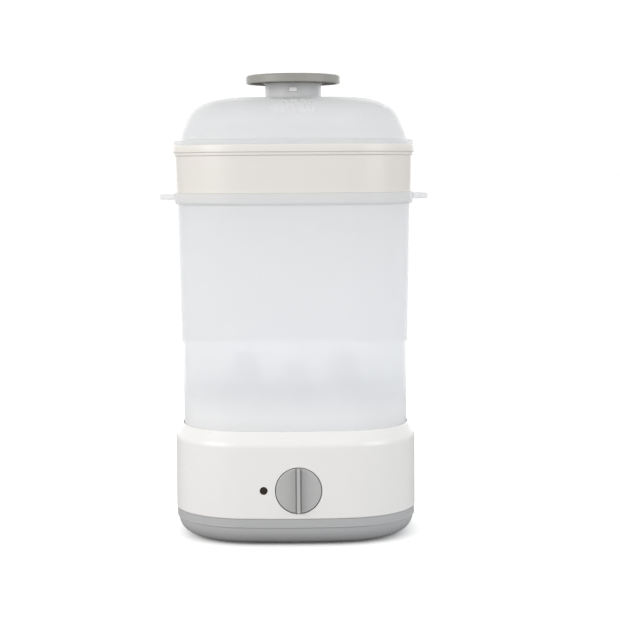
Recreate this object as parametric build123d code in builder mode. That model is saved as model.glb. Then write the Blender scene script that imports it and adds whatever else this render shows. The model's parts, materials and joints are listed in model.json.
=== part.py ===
"""Electric steam steriliser for feeding bottles: base with a heating plate, bottle basket, upper tray and lid.

Millimetres, +Z up, front towards -Y. The origin is on the table, under the middle of the object.
Every outer shell follows one rounded plan, so a wall is given by how far it stands in from that plan.
"""

from build123d import *
from math import cos, hypot, radians, sin
import os

# Rounded plan of the body
HALF_W = 90.0  # half width, left to right
HALF_D = 75.0  # half depth, front to back
CORNER_R = 57.0
CORNER_X = 32.4  # centre of a corner arc; a little inside HALF_W - CORNER_R, which bows the sides
CORNER_Y = 16.3

# Heights of the stack
FOOT_H = 1.6
SEAM_Z = 20.5  # between the bottom cover and the housing
DECK_Z = 74.7  # where the basket stands
SHOULDER_Z = 83.5
BASKET_TOP_Z = 254.8
TRAY_TOP_Z = 289.5
DOME_TOP_Z = 324.4
STEM_TOP_Z = 335.2
TOP_Z = 343.0

# Walls
COVER_T = 2.4
HOUSING_T = 2.6
BASKET_T = 1.8
TRAY_T = 2.0
LID_T = 1.8
SEAM_GAP = 0.2

# How far each shell stands in from the plan
RIM_IN = 5.8  # socket in the housing's top that the basket drops into
BASKET_BOTTOM_IN = 6.5
BASKET_NECK_IN = 3.9
BASKET_BAND_IN = 1.4
TRAY_SKIRT_IN = 3.6
TRAY_WALL_IN = 2.6
TRAY_FLANGE_IN = 0.0
LID_RIM_IN = 1.0
LID_LIP_IN = 4.0

# Front and rear reach of the whole object
REACH_Y = 79.4
EAR_X = 100.6
EAR_HALF_Y = 26.0
EAR_T = 3.8
EAR_Z = BASKET_TOP_Z - 1.2 - EAR_T

# Control knob, its switch and the lamp beside it
KNOB_X = 1.9
KNOB_Z = 41.5
KNOB_R = 16.4
KNOB_BACK_Y = 66.3  # distance of its back in front of the middle of the base
KNOB_FACE_Y = 75.2
RECESS_R = 17.0
RECESS_FLOOR_Y = 65.5
RECESS_T = 2.0
SHAFT_R = 3.0
BUSHING_R = 4.5
LAMP_X = -23.2
LENS_R = 2.75

# Heating plate
PLATE_FLANGE_R = 53.6
DISH_R = 45.4
SHELF_Z = DECK_Z - 9.0  # underside of the shelf that carries the plate
SHELF_T = 2.0
SEAL_T = 1.6
SHEET_T = 1.2  # clamp ring and bracket
DISH_Z = SHELF_Z - 2.0
STUD_RING_R = 50.0
STUD_R = 1.5
ELEMENT_RING_R = 30.0
ELEMENT_R = 4.0

# Cord inlet in the back wall
INLET_Z = 29.0
CORD_HOLE_R = 3.6
CLAMP_Z = INLET_Z + 3.0  # underside of the cord clamp

# Well in the deck, with the shelf for the heating plate at its foot
WELL_R = 54.0
WELL_WALL = 2.0
WELL_MOUTH_R = 46.0

# Places of the fixings
CLAMP_Y = 60.0
SCREW_XY = [(x, y) for x in (-64.0, 64.0) for y in (-18.0, 18.0)]
FOOT_XY = [(x, y) for x in (-54.0, 54.0) for y in (-39.0, 39.0)]
CLAMP_XY = [(-9.0, CLAMP_Y), (9.0, CLAMP_Y)]
POST_XY = [(-38.0, -32.0), (38.0, -32.0), (-38.0, 32.0), (38.0, 32.0), (0.0, -32.0)]

FRONT_Y0 = (CORNER_X**2 + CORNER_Y**2 - (HALF_D - CORNER_R) ** 2) / (2 * (HALF_D - CORNER_R - CORNER_Y))
SIDE_X0 = (CORNER_X**2 + CORNER_Y**2 - (HALF_W - CORNER_R) ** 2) / (2 * (HALF_W - CORNER_R - CORNER_X))


def outline_edges(inset):
    """Corner points of the front right quarter of the plan, moved inwards by inset."""
    front_run = hypot(CORNER_X, CORNER_Y + FRONT_Y0)
    front_r = HALF_D + FRONT_Y0 - inset
    front_end = (CORNER_X / front_run * front_r, FRONT_Y0 - (CORNER_Y + FRONT_Y0) / front_run * front_r)
    side_run = hypot(CORNER_X + SIDE_X0, CORNER_Y)
    side_r = HALF_W + SIDE_X0 - inset
    side_end = ((CORNER_X + SIDE_X0) / side_run * side_r - SIDE_X0, -CORNER_Y / side_run * side_r)
    middle = ((CORNER_R - inset) * cos(radians(45)), -(CORNER_R - inset) * sin(radians(45)))
    return front_end, (CORNER_X + middle[0], middle[1] - CORNER_Y), side_end


def outline(inset, z):
    """Face of the plan at height z, moved inwards by inset."""
    front_end, corner_middle, side_end = outline_edges(inset)
    with BuildSketch(Plane.XY.offset(z)) as face:
        with BuildLine():
            front = ThreePointArc((-front_end[0], front_end[1]), (0, inset - HALF_D), front_end)
            corner = ThreePointArc(front_end, corner_middle, side_end)
            side = ThreePointArc(side_end, (HALF_W - inset, 0), (side_end[0], -side_end[1]))
            rear_corner = mirror(corner, about=Plane.XZ)
            mirror(front, about=Plane.XZ)
            mirror([side, corner, rear_corner], about=Plane.YZ)
        make_face()
    return face.sketch


def plan_path():
    """Closed wire of the plan at the table, from the middle of the front and round to it again."""
    front_end, corner_middle, side_end = outline_edges(0)
    quarter_front = HALF_D + FRONT_Y0
    half_way = hypot(CORNER_X, CORNER_Y + FRONT_Y0)
    near = (front_end[0] / 2, FRONT_Y0 - (quarter_front**2 - (front_end[0] / 2) ** 2) ** 0.5)
    with BuildLine() as path:
        front = ThreePointArc((0, -HALF_D), near, front_end)
        corner = ThreePointArc(front_end, corner_middle, side_end)
        side = ThreePointArc(side_end, (HALF_W, 0), (side_end[0], -side_end[1]))
        rear = mirror([front, corner], about=Plane.XZ)
        mirror([side, front, corner, *rear], about=Plane.YZ)
    return path.wire()


PATH = plan_path()
STANDING = (Align.CENTER, Align.CENTER, Align.MIN)  # centred in plan, rising from its place
# Profiles of the shells are drawn here: x is the distance in from the plan, y is the height
WALL_PLANE = Plane(origin=(0, -HALF_D, 0), x_dir=(0, 1, 0), z_dir=(1, 0, 0))
# Pieces on the knob's axis: x to the right, y up, and out of the front
KNOB_PLANE = Plane(origin=(KNOB_X, 0, KNOB_Z), x_dir=(1, 0, 0), z_dir=(0, -1, 0))
LAMP_PLANE = Plane(origin=(LAMP_X, 0, KNOB_Z), x_dir=(1, 0, 0), z_dir=(0, -1, 0))
INLET_PLANE = Plane(origin=(0, 0, INLET_Z), x_dir=(-1, 0, 0), z_dir=(0, 1, 0))


def finish(builder, name):
    """Labels a finished piece and writes its file."""
    builder.part.label = name
    export_step(builder.part, f"parts/{name}.step")
    print(f"{name:22s} {builder.part.volume / 1000:9.3f} cm3  {len(builder.part.solids())} solid(s)")


def floor_holes(inset, pitch, keep_clear, clearance):
    """Places of a floor's steam holes: a square grid, clear of the wall and of the points in keep_clear."""
    count_x = int((HALF_W - inset) // pitch)
    count_y = int((HALF_D - inset) // pitch)
    places = []
    for i in range(-count_x, count_x + 1):
        for j in range(-count_y, count_y + 1):
            x, y = i * pitch, j * pitch
            over_x, over_y = max(abs(x) - CORNER_X, 0), max(abs(y) - CORNER_Y, 0)
            if hypot(over_x, over_y) > CORNER_R - inset:
                continue
            if all(hypot(x - px, y - py) > clearance for px, py in keep_clear):
                places.append((x, y))
    return places


os.makedirs("parts", exist_ok=True)

# ---------------------------------------------------------------- base: shells

BAND_Z = SEAM_Z - 5.7  # lower edge of the cover's upright band
TONGUE_Z = SEAM_Z + 2.5
with BuildPart() as bottom_cover:
    with BuildSketch(WALL_PLANE):
        with BuildLine():
            bowl = ThreePointArc((13.0, FOOT_H), (4.6, 6.0), (1.3, BAND_Z))
            Polyline(
                (1.3, BAND_Z), (0.5, BAND_Z + 0.7), (0.5, SEAM_Z), (3.0, SEAM_Z), (3.0, TONGUE_Z),
                (4.4, TONGUE_Z), (4.4, BAND_Z),
            )
            inner = ThreePointArc((4.4, BAND_Z), (6.9, 8.0), (14.0, FOOT_H + COVER_T))
            Polyline(inner @ 1, (16.0, FOOT_H + COVER_T), (16.0, FOOT_H), bowl @ 0)
        make_face()
    sweep(path=PATH)
    extrude(to_extrude=outline(15.0, FOOT_H), amount=COVER_T)
    # the tongue gives way to the knob's recess and to the cord inlet
    with Locations((KNOB_X, -HALF_D, SEAM_Z)):
        Box(27, 12, 5, align=STANDING, mode=Mode.SUBTRACT)
    with Locations((0, HALF_D, SEAM_Z)):
        Box(20, 12, 5, align=STANDING, mode=Mode.SUBTRACT)
    with BuildSketch(Plane.XY.offset(FOOT_H)):
        with Locations(*SCREW_XY):
            Circle(5.0)
    extrude(amount=6.4)
    with BuildSketch(Plane.XY.offset(FOOT_H + COVER_T)):
        with Locations(*CLAMP_XY):
            Circle(3.4)
    extrude(amount=CLAMP_Z - FOOT_H - COVER_T)
    with Locations((0, CLAMP_Y, FOOT_H + COVER_T)):
        Box(14, 6, INLET_Z - CORD_HOLE_R - FOOT_H - COVER_T, align=STANDING)
    with Locations(*[(x, y, FOOT_H) for x, y in SCREW_XY]):
        Cylinder(3.5, 3.4, align=STANDING, mode=Mode.SUBTRACT)
        Cylinder(1.8, 8.0, align=STANDING, mode=Mode.SUBTRACT)
    with Locations(*[(x, y, FOOT_H) for x, y in FOOT_XY]):
        Cylinder(2.6, COVER_T, align=STANDING, mode=Mode.SUBTRACT)
    with Locations(*[(x, y, CLAMP_Z - 12.0) for x, y in CLAMP_XY]):
        Cylinder(1.3, 12.0, align=STANDING, mode=Mode.SUBTRACT)
finish(bottom_cover, "bottom_cover")

RIDGE_Z = 76.0  # edge where the wall turns into the shoulder
DECK_T = 2.2
BOSS_Z = 8.2  # foot of the screw bosses
BOSS_R = 4.2
with BuildPart() as housing:
    with BuildSketch(WALL_PLANE):
        with BuildLine():
            Polyline(
                (HOUSING_T, SEAM_Z + SEAM_GAP), (0.5, SEAM_Z + SEAM_GAP), (0, SEAM_Z + 0.9), (0, RIDGE_Z - 4.0)
            )
            ThreePointArc((0, RIDGE_Z - 4.0), (0.45, RIDGE_Z - 0.9), (1.7, RIDGE_Z + 1.4))
            Line((1.7, RIDGE_Z + 1.4), (4.5, SHOULDER_Z - 0.9))
            ThreePointArc((4.5, SHOULDER_Z - 0.9), (4.85, SHOULDER_Z - 0.25), (5.3, SHOULDER_Z))
            Polyline((5.3, SHOULDER_Z), (RIM_IN, SHOULDER_Z), (RIM_IN, DECK_Z), (9.0, DECK_Z), (9.0, DECK_Z - DECK_T))
            Polyline((9.0, DECK_Z - DECK_T), (HOUSING_T, DECK_Z - DECK_T), (HOUSING_T, SEAM_Z + SEAM_GAP))
        make_face()
    sweep(path=PATH)
    extrude(to_extrude=outline(8.0, DECK_Z - DECK_T), amount=DECK_T)
    # well with a shelf round its foot for the heating plate
    with BuildSketch(Plane.XY.offset(SHELF_Z)):
        Circle(WELL_R + WELL_WALL)
    extrude(amount=DECK_Z - SHELF_Z)
    with BuildSketch(Plane.XY.offset(SHELF_Z + SHELF_T)):
        Circle(WELL_R)
    extrude(amount=DECK_Z - SHELF_Z, mode=Mode.SUBTRACT)
    with BuildSketch(Plane.XY.offset(SHELF_Z)):
        Circle(WELL_MOUTH_R)
    extrude(amount=DECK_Z - SHELF_Z, mode=Mode.SUBTRACT)
    # sunk seat for the knob, with a hole for the switch's bushing
    with BuildSketch(KNOB_PLANE.offset(RECESS_FLOOR_Y - RECESS_T)):
        Circle(RECESS_R + RECESS_T)
    extrude(amount=HALF_D - 1.2 - RECESS_FLOOR_Y + RECESS_T)
    with BuildSketch(KNOB_PLANE.offset(RECESS_FLOOR_Y)):
        Circle(RECESS_R)
    extrude(amount=HALF_D, mode=Mode.SUBTRACT)
    with BuildSketch(KNOB_PLANE.offset(RECESS_FLOOR_Y - RECESS_T)):
        Circle(BUSHING_R + 0.1)
    extrude(amount=HALF_D, mode=Mode.SUBTRACT)
    with BuildSketch(LAMP_PLANE.offset(60.0)):
        Circle(LENS_R + 0.15)
    extrude(amount=20.0, mode=Mode.SUBTRACT)
    # two ribs that the lamp holder clips between
    with BuildSketch(LAMP_PLANE.offset(62.0)):
        with Locations((-5.8, 0), (5.8, 0)):
            Rectangle(1.4, 12)
    extrude(amount=11.0)
    with BuildSketch(INLET_PLANE.offset(60.0)):
        Circle(6.0)
    extrude(amount=20.0, mode=Mode.SUBTRACT)
    # screw bosses
    with BuildSketch(Plane.XY.offset(BOSS_Z)):
        with Locations(*SCREW_XY):
            Circle(BOSS_R)
    extrude(amount=DECK_Z - BOSS_Z - 1.0)
    with Locations(*[(x, y, BOSS_Z) for x, y in SCREW_XY]):
        Cylinder(1.5, 16.0, align=STANDING, mode=Mode.SUBTRACT)
    # clearance holes for the plate's studs
    with PolarLocations(STUD_RING_R, 4):
        with Locations((0, 0, SHELF_Z)):
            Cylinder(STUD_R + 0.2, SHELF_T, align=STANDING, mode=Mode.SUBTRACT)
finish(housing, "housing")

HEAD_Z = 2.6
with BuildPart() as housing_screws:
    with Locations(*[(x, y, HEAD_Z) for x, y in SCREW_XY]):
        Cylinder(3.0, 2.4, align=STANDING)
        Cylinder(1.45, 18.0, align=STANDING)
    with BuildSketch(Plane.XY.offset(HEAD_Z)):
        with Locations(*SCREW_XY):
            Rectangle(4.0, 0.7)
            Rectangle(0.7, 4.0)
    extrude(amount=1.2, mode=Mode.SUBTRACT)
finish(housing_screws, "housing_screws")

with BuildPart() as rubber_feet:
    with Locations(*[(x, y, 0) for x, y in FOOT_XY]):
        Cylinder(7.0, FOOT_H, align=STANDING)
        Cylinder(2.5, FOOT_H + COVER_T, align=STANDING)
    with Locations(*[(x, y, FOOT_H + COVER_T) for x, y in FOOT_XY]):
        Cone(3.3, 1.6, 2.2, align=STANDING)
finish(rubber_feet, "rubber_feet")

# ---------------------------------------------------------------- base: heating

with BuildPart() as plate_seal:
    with BuildSketch(Plane.XY.offset(SHELF_Z + SHELF_T)):
        Circle(PLATE_FLANGE_R)
        Circle(WELL_MOUTH_R + 0.8, mode=Mode.SUBTRACT)
        with PolarLocations(STUD_RING_R, 4):
            Circle(STUD_R + 0.1, mode=Mode.SUBTRACT)
    extrude(amount=SEAL_T)
finish(plate_seal, "plate_seal")

FLANGE_Z = SHELF_Z + SHELF_T + SEAL_T
with BuildPart() as heating_plate:
    with BuildSketch(Plane.XZ):
        with BuildLine():
            Polyline(
                (0, DISH_Z), (DISH_R - 1.4, DISH_Z), (DISH_R, DISH_Z + 1.4), (DISH_R, FLANGE_Z),
                (PLATE_FLANGE_R, FLANGE_Z), (PLATE_FLANGE_R, FLANGE_Z + 1.0), (DISH_R - 1.0, FLANGE_Z + 1.0), (DISH_R - 1.0, DISH_Z + 1.8),
                (DISH_R - 1.8, DISH_Z + 1.0), (0, DISH_Z + 1.0), (0, DISH_Z),
            )
        make_face()
    revolve(axis=Axis.Z)
    with PolarLocations(STUD_RING_R, 4):
        with Locations((0, 0, FLANGE_Z - 9.2)):
            Cylinder(STUD_R, 9.4, align=STANDING)
finish(heating_plate, "heating_plate")

with BuildPart() as plate_clamp_ring:
    with BuildSketch(Plane.XY.offset(SHELF_Z - SHEET_T)):
        Circle(WELL_R - 0.5)
        Circle(WELL_MOUTH_R + 0.5, mode=Mode.SUBTRACT)
        with PolarLocations(STUD_RING_R, 4):
            Circle(STUD_R + 0.2, mode=Mode.SUBTRACT)
    extrude(amount=SHEET_T)
finish(plate_clamp_ring, "plate_clamp_ring")

STRAP_Z = SHELF_Z - 11.5
LEG_X = 47.0
with BuildPart() as thermostat_bracket:
    with BuildSketch(Plane.XZ):
        with BuildLine():
            Polyline(
                (0, STRAP_Z), (LEG_X, STRAP_Z), (LEG_X, SHELF_Z - 2 * SHEET_T), (WELL_R, SHELF_Z - 2 * SHEET_T),
                (WELL_R, SHELF_Z - SHEET_T), (LEG_X - SHEET_T, SHELF_Z - SHEET_T), (LEG_X - SHEET_T, STRAP_Z + SHEET_T),
                (0, STRAP_Z + SHEET_T),
            )
            mirror(about=Plane.YZ)
        make_face()
    extrude(amount=9.5, both=True)
    with BuildSketch(Plane.XY.offset(STRAP_Z - 5.0)):
        Circle(7.2)
        with Locations((STUD_RING_R, 0), (-STUD_RING_R, 0)):
            Circle(STUD_R + 0.2)
    extrude(amount=20.0, mode=Mode.SUBTRACT)
finish(thermostat_bracket, "thermostat_bracket")

NUT_T = 2.4
with BuildPart() as plate_nuts:
    # the left and right nuts also hold the bracket, so they sit one sheet lower
    for sheets, nut_xy in (
        (2, [(STUD_RING_R, 0), (-STUD_RING_R, 0)]),
        (1, [(0, STUD_RING_R), (0, -STUD_RING_R)]),
    ):
        with BuildSketch(Plane.XY.offset(SHELF_Z - sheets * SHEET_T - NUT_T)):
            with Locations(*nut_xy):
                RegularPolygon(2.9, 6)
                Circle(STUD_R + 0.05, mode=Mode.SUBTRACT)
        extrude(amount=NUT_T)
finish(plate_nuts, "plate_nuts")

with BuildPart() as heating_element:
    with BuildLine() as element_line:
        CenterArc((0, 0, DISH_Z - ELEMENT_R), ELEMENT_RING_R, 110, 320)
    element_wire = element_line.wire()
    with BuildSketch(Plane(element_wire ^ 0)):
        Circle(ELEMENT_R)
    sweep(path=element_wire)
    # a cold pin out of each end
    for end, way in ((0, -1), (1, 1)):
        with BuildSketch(Plane(element_wire ^ end)):
            Circle(1.2)
        extrude(amount=7.0 * way)
finish(heating_element, "heating_element")

with BuildPart() as thermostat:
    # the bracket presses on the flange, which keeps the cap against the dish
    with BuildSketch(Plane.XY.offset(STRAP_Z + SHEET_T)):
        Circle(9.5)
    extrude(amount=1.0)
    with BuildSketch(Plane.XY.offset(STRAP_Z + SHEET_T)):
        Circle(8.0)
    extrude(amount=DISH_Z - STRAP_Z - SHEET_T)
    with BuildSketch(Plane.XY.offset(STRAP_Z - 6.5)):
        Circle(7.0)
    extrude(amount=8.0)
    with BuildSketch(Plane.XY.offset(STRAP_Z - 13.5)):
        with Locations((-3.5, 0), (3.5, 0)):
            Rectangle(0.8, 6.3)
    extrude(amount=7.5)
finish(thermostat, "thermostat")

FUSE_Y = 17.0
FUSE_R = 2.0
FUSE_L = 12.0
with BuildPart() as thermal_fuse:
    with BuildSketch(Plane.YZ):
        with Locations((FUSE_Y, DISH_Z - FUSE_R)):
            Circle(FUSE_R)
    extrude(amount=FUSE_L / 2, both=True)
    with BuildSketch(Plane.YZ):
        with Locations((FUSE_Y, DISH_Z - FUSE_R)):
            Circle(0.5)
    extrude(amount=FUSE_L, both=True)
finish(thermal_fuse, "thermal_fuse")

with BuildPart() as fuse_clip:
    with BuildSketch(Plane.YZ.offset(-2.5)):
        with Locations((FUSE_Y, DISH_Z)):
            Rectangle(10.0, 0.8, align=(Align.CENTER, Align.MAX))
            Rectangle(5.8, 4.9, align=(Align.CENTER, Align.MAX))
            Rectangle(4.2, 4.1, align=(Align.CENTER, Align.MAX), mode=Mode.SUBTRACT)
    extrude(amount=5.0)
finish(fuse_clip, "fuse_clip")

# ---------------------------------------------------------------- base: controls

SWITCH_BACK_Y = 48.0
SHAFT_BACK_Y = SWITCH_BACK_Y + 6.5
with BuildPart() as rotary_switch:
    with BuildSketch(KNOB_PLANE.offset(SWITCH_BACK_Y)):
        RectangleRounded(22, 22, 2)
    extrude(amount=RECESS_FLOOR_Y - RECESS_T - SWITCH_BACK_Y)
    with BuildSketch(KNOB_PLANE.offset(RECESS_FLOOR_Y - RECESS_T)):
        Circle(BUSHING_R)
    extrude(amount=4.6)
    with BuildSketch(KNOB_PLANE.offset(SWITCH_BACK_Y - 7.0)):
        with Locations((-6, 4), (6, 4), (0, -6)):
            Rectangle(4.8, 0.8)
    extrude(amount=7.0)
    with BuildSketch(KNOB_PLANE.offset(SHAFT_BACK_Y - 0.5)):
        Circle(SHAFT_R + 0.06)
    extrude(amount=20.0, mode=Mode.SUBTRACT)
finish(rotary_switch, "rotary_switch")

with BuildPart() as switch_nut:
    with BuildSketch(KNOB_PLANE.offset(RECESS_FLOOR_Y)):
        RegularPolygon(7.2, 6)
        Circle(BUSHING_R + 0.08, mode=Mode.SUBTRACT)
    extrude(amount=2.2)
finish(switch_nut, "switch_nut")

with BuildPart() as switch_shaft:
    with BuildSketch(KNOB_PLANE.offset(SHAFT_BACK_Y)):
        Circle(SHAFT_R)
    extrude(amount=KNOB_FACE_Y - 1.6 - SHAFT_BACK_Y)
    with BuildSketch(KNOB_PLANE.offset(KNOB_BACK_Y + 1.9)):
        with Locations((SHAFT_R, 0)):
            Rectangle(2.4, 8)
    extrude(amount=8.0, mode=Mode.SUBTRACT)
finish(switch_shaft, "switch_shaft")

with BuildPart() as control_knob:
    with BuildSketch(KNOB_PLANE.offset(KNOB_BACK_Y)):
        Circle(KNOB_R)
    extrude(amount=KNOB_FACE_Y - KNOB_BACK_Y)
    fillet(control_knob.faces().sort_by(Axis.Y)[0].edges(), radius=0.7)
    with BuildSketch(KNOB_PLANE.offset(KNOB_BACK_Y)):
        Circle(KNOB_R - 1.8)
        Circle(6.0, mode=Mode.SUBTRACT)
    extrude(amount=6.6, mode=Mode.SUBTRACT)
    # the hub ends clear of the switch's nut, and its bore has a flat for the shaft
    with BuildSketch(KNOB_PLANE.offset(KNOB_BACK_Y)):
        Circle(8.0)
    extrude(amount=2.1, mode=Mode.SUBTRACT)
    with BuildSketch(KNOB_PLANE.offset(KNOB_BACK_Y)):
        Circle(SHAFT_R + 0.04)
        with Locations((SHAFT_R + 0.04, 0)):
            Rectangle(2.4, 8, mode=Mode.SUBTRACT)
    extrude(amount=7.4, mode=Mode.SUBTRACT)
    # grip across the face, in a narrow groove
    with BuildSketch(KNOB_PLANE.offset(KNOB_FACE_Y - 1.0)):
        Circle(KNOB_R)
        Rectangle(4.4, 40, mode=Mode.INTERSECT)
    extrude(amount=5.0, mode=Mode.SUBTRACT)
    with BuildSketch(KNOB_PLANE.offset(KNOB_FACE_Y - 1.4)) as grip_root:
        Circle(KNOB_R - 0.2)
        Rectangle(2.8, 40, mode=Mode.INTERSECT)
    with BuildSketch(KNOB_PLANE.offset(REACH_Y)) as grip_tip:
        Circle(KNOB_R - 0.6)
        Rectangle(2.0, 40, mode=Mode.INTERSECT)
    loft()
    fillet(control_knob.faces().sort_by(Axis.Y)[0].edges(), radius=0.4)
finish(control_knob, "control_knob")

with BuildPart() as knob_clip:
    with BuildSketch(KNOB_PLANE.offset(KNOB_BACK_Y + 3.1)):
        Circle(6.9)
        Circle(6.1, mode=Mode.SUBTRACT)
        with Locations((-7, 0)):
            Rectangle(8, 5, mode=Mode.SUBTRACT)
    extrude(amount=3.2)
finish(knob_clip, "knob_clip")

LENS_BACK_Y = 70.0
with BuildPart() as indicator_lens:
    with BuildSketch(LAMP_PLANE.offset(LENS_BACK_Y)):
        Circle(LENS_R + 1.2)
    extrude(amount=1.2)
    with BuildSketch(LAMP_PLANE.offset(LENS_BACK_Y)):
        Circle(LENS_R)
    extrude(amount=3.7)
    fillet(indicator_lens.faces().sort_by(Axis.Y)[0].edges(), radius=0.8)
finish(indicator_lens, "indicator_lens")

with BuildPart() as lamp_holder:
    with BuildSketch(LAMP_PLANE.offset(LENS_BACK_Y - 9.5)):
        Rectangle(10, 10)
        Circle(2.9, mode=Mode.SUBTRACT)
    extrude(amount=9.4)
finish(lamp_holder, "lamp_holder")

with BuildPart() as indicator_lamp:
    with BuildSketch(LAMP_PLANE.offset(LENS_BACK_Y - 9.0)):
        Circle(2.8)
    extrude(amount=8.6)
    fillet(indicator_lamp.faces().sort_by(Axis.Y)[0].edges(), radius=1.6)
    with BuildSketch(LAMP_PLANE.offset(LENS_BACK_Y - 18.0)):
        with Locations((-1.4, 0), (1.4, 0)):
            Circle(0.4)
    extrude(amount=9.0)
finish(indicator_lamp, "indicator_lamp")

# ---------------------------------------------------------------- base: mains side

TERMINAL_XY = [(26.0, 38.0), (34.0, 38.0), (42.0, 38.0)]
WIRE_Z = 9.5
with BuildPart() as terminal_block:
    with Locations((TERMINAL_XY[1][0], TERMINAL_XY[1][1], FOOT_H + COVER_T)):
        Box(24, 11, 12, align=STANDING)
    with BuildSketch(Plane.XZ.offset(-28.0)):
        with Locations(*[(x, WIRE_Z) for x, y in TERMINAL_XY]):
            Circle(1.8)
    extrude(amount=-20.0, mode=Mode.SUBTRACT)
    with Locations(*[(x, y, WIRE_Z) for x, y in TERMINAL_XY]):
        Cylinder(1.6, 8.0, align=STANDING, mode=Mode.SUBTRACT)
finish(terminal_block, "terminal_block")

with BuildPart() as terminal_screws:
    with BuildSketch(Plane.XY.offset(WIRE_Z + 1.0)):
        with Locations(*TERMINAL_XY):
            Circle(1.5)
    extrude(amount=4.5)
    with BuildSketch(Plane.XY.offset(WIRE_Z + 4.7)):
        with Locations(*TERMINAL_XY):
            Rectangle(3.4, 0.5)
    extrude(amount=2.0, mode=Mode.SUBTRACT)
finish(terminal_screws, "terminal_screws")

GLAND_BACK_Y = HALF_D - 4.8
with BuildPart() as cord_gland:
    with BuildSketch(INLET_PLANE.offset(GLAND_BACK_Y)):
        Circle(7.4)
    extrude(amount=2.0)
    with BuildSketch(INLET_PLANE.offset(GLAND_BACK_Y)):
        Circle(5.9)
    extrude(amount=6.0)
    with BuildSketch(INLET_PLANE.offset(HALF_D)):
        Circle(7.5)
    extrude(amount=2.0)
    with BuildSketch(INLET_PLANE.offset(HALF_D + 2.0)) as nose_root:
        Circle(6.0)
    with BuildSketch(INLET_PLANE.offset(REACH_Y)) as nose_tip:
        Circle(4.9)
    loft()
    with BuildSketch(INLET_PLANE.offset(60.0)):
        Circle(CORD_HOLE_R)
    extrude(amount=30.0, mode=Mode.SUBTRACT)
finish(cord_gland, "cord_gland")

with BuildPart() as cord_clamp:
    with Locations((0, CLAMP_Y, CLAMP_Z)):
        Box(26, 8, 4, align=STANDING)
    with BuildSketch(Plane.XZ.offset(-50.0)):
        with Locations((0, INLET_Z)):
            Circle(4.4)
    extrude(amount=-20.0, mode=Mode.SUBTRACT)
    with Locations(*[(x, y, CLAMP_Z) for x, y in CLAMP_XY]):
        Cylinder(1.7, 4.0, align=STANDING, mode=Mode.SUBTRACT)
finish(cord_clamp, "cord_clamp")

with BuildPart() as clamp_screws:
    with Locations(*[(x, y, CLAMP_Z + 4.0) for x, y in CLAMP_XY]):
        Cylinder(2.8, 1.8, align=STANDING)
    with Locations(*[(x, y, CLAMP_Z - 8.0) for x, y in CLAMP_XY]):
        Cylinder(1.25, 13.0, align=STANDING)
finish(clamp_screws, "clamp_screws")

# ---------------------------------------------------------------- basket

RACK_Z = DECK_Z + 13.4
LEDGE_IN = 12.0
STEP_Z = BASKET_TOP_Z - 8.8  # where the wall steps out to the rim band
EAR_ROOT_X = HALF_W - 3.0
with BuildPart() as bottle_basket:
    with BuildSketch(WALL_PLANE):
        with BuildLine():
            Polyline(
                (BASKET_BOTTOM_IN + BASKET_T, DECK_Z), (BASKET_BOTTOM_IN, DECK_Z), (BASKET_NECK_IN, STEP_Z),
                (BASKET_BAND_IN + 0.7, STEP_Z + 0.8), (BASKET_BAND_IN, STEP_Z + 1.7),
                (BASKET_BAND_IN, BASKET_TOP_Z - 0.5),
                (BASKET_BAND_IN + 0.5, BASKET_TOP_Z), (BASKET_BAND_IN + BASKET_T, BASKET_TOP_Z),
                (BASKET_BAND_IN + BASKET_T, STEP_Z + 2.0), (BASKET_NECK_IN + BASKET_T, STEP_Z + 0.6),
                (8.1, RACK_Z), (LEDGE_IN, RACK_Z), (LEDGE_IN, RACK_Z - 2.0), (8.15, RACK_Z - 3.5),
                (BASKET_BOTTOM_IN + BASKET_T, DECK_Z),
            )
        make_face()
    sweep(path=PATH)
    # lifting ears
    with BuildSketch(Plane.XY.offset(EAR_Z)):
        for side in (-1, 1):
            with BuildLine():
                Polyline((side * EAR_ROOT_X, -EAR_HALF_Y), (side * (EAR_X - 7), -EAR_HALF_Y + 3))
                ear_end = ThreePointArc(
                    (side * (EAR_X - 7), -EAR_HALF_Y + 3), (side * EAR_X, 0), (side * (EAR_X - 7), EAR_HALF_Y - 3)
                )
                Polyline(
                    (side * (EAR_X - 7), EAR_HALF_Y - 3), (side * EAR_ROOT_X, EAR_HALF_Y),
                    (side * EAR_ROOT_X, -EAR_HALF_Y),
                )
            make_face()
    extrude(amount=EAR_T)
finish(bottle_basket, "bottle_basket")

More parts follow.
